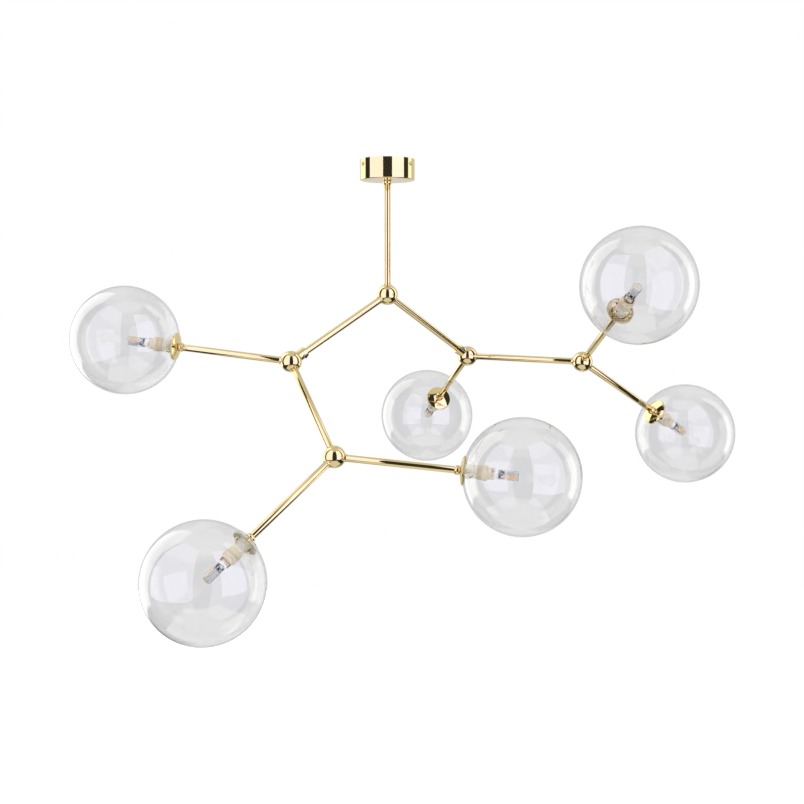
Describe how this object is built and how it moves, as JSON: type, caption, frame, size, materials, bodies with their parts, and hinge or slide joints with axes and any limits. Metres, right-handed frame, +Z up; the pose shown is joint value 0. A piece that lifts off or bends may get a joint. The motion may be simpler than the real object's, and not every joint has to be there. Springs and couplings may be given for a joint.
{
  "type": "multi arm chandelier",
  "caption": "Branching ball-and-tube chandelier in polished brass with clear glass globes, capsule lamps and swivelling branches under a round ceiling cap.",
  "frame": {"origin": "centre of the ceiling bracket's top face, on the stem's axis, in the plane of the ceiling", "axes": "+Z up into the ceiling along the stem, +X to the right and +Y away from a person who looks at the front"},
  "size_m": [1.261, 1.0176, 0.7938],
  "materials": {
    "polished_brass": "polished, mirror bright, pale gold",
    "bright_steel": "bright zinc plated",
    "clear_glass": "clear, polished",
    "cream_ceramic": "satin ceramic",
    "white_sleeve": "satin",
    "lamp_capsule": "clear capsule over a light core",
    "white_nylon": "matt nylon"
  },
  "bodies": {
    "frame": {"ceiling_bracket": "bright_steel", "ceiling_cap": "polished_brass", "cap_screws": "polished_brass", "terminal_block": "white_nylon", "earth_screw": "bright_steel", "stem_tube": "polished_brass", "stem_collar": "polished_brass", "stem_nut": "bright_steel", "centre_hub": "polished_brass", "left_link_tube": "polished_brass", "right_link_tube": "polished_brass"},
    "left_branch": {"left_hub": "polished_brass", "left_swivel_collar": "polished_brass", "left_low_tube": "polished_brass", "left_low_hub": "polished_brass", "left_neck_nuts": "polished_brass", "left_ring_nuts": "cream_ceramic", "left_holder_sleeves": "white_sleeve", "left_globe_clips": "polished_brass", "arm_tube_1": "polished_brass", "cup_1": "polished_brass", "globe_1": "clear_glass", "lampholder_1": "cream_ceramic", "lamp_1": "lamp_capsule", "arm_tube_2": "polished_brass", "cup_2": "polished_brass", "globe_2": "clear_glass", "lampholder_2": "cream_ceramic", "lamp_2": "lamp_capsule", "arm_tube_3": "polished_brass", "cup_3": "polished_brass", "globe_3": "clear_glass", "lampholder_3": "cream_ceramic", "lamp_3": "lamp_capsule"},
    "left_clamp": {"left_clamp_screw": "bright_steel"},
    "right_branch": {"right_hub": "polished_brass", "right_swivel_collar": "polished_brass", "right_low_tube": "polished_brass", "right_low_hub": "polished_brass", "right_neck_nuts": "polished_brass", "right_ring_nuts": "cream_ceramic", "right_holder_sleeves": "white_sleeve", "right_globe_clips": "polished_brass", "arm_tube_4": "polished_brass", "cup_4": "polished_brass", "globe_4": "clear_glass", "lampholder_4": "cream_ceramic", "lamp_4": "lamp_capsule", "arm_tube_5": "polished_brass", "cup_5": "polished_brass", "globe_5": "clear_glass", "lampholder_5": "cream_ceramic", "lamp_5": "lamp_capsule", "arm_tube_6": "polished_brass", "cup_6": "polished_brass", "globe_6": "clear_glass", "lampholder_6": "cream_ceramic", "lamp_6": "lamp_capsule"},
    "right_clamp": {"right_clamp_screw": "bright_steel"}
  },
  "joints": [
    {"name": "left_swivel", "type": "hinge", "parent": "frame", "child": "left_branch", "pos_m": [-0.16889, -0.1024, -0.3658], "axis": [-0.7311, -0.4433, -0.5186], "range_deg": [-60, 60]},
    {"name": "right_swivel", "type": "hinge", "parent": "frame", "child": "right_branch", "pos_m": [0.15374, 0.12721, -0.36237], "axis": [0.6655, 0.5507, -0.5038], "range_deg": [-15, 15]},
    {"name": "left_clamp_turn", "type": "hinge", "parent": "left_branch", "child": "left_clamp", "pos_m": [-0.15061, -0.09132, -0.35283], "axis": [0.6429, -0.702, -0.3064], "range_deg": [0, 360]},
    {"name": "right_clamp_turn", "type": "hinge", "parent": "right_branch", "child": "right_clamp", "pos_m": [0.1371, 0.11345, -0.34977], "axis": [0.7198, -0.6521, 0.2381], "range_deg": [0, 360]}
  ]
}
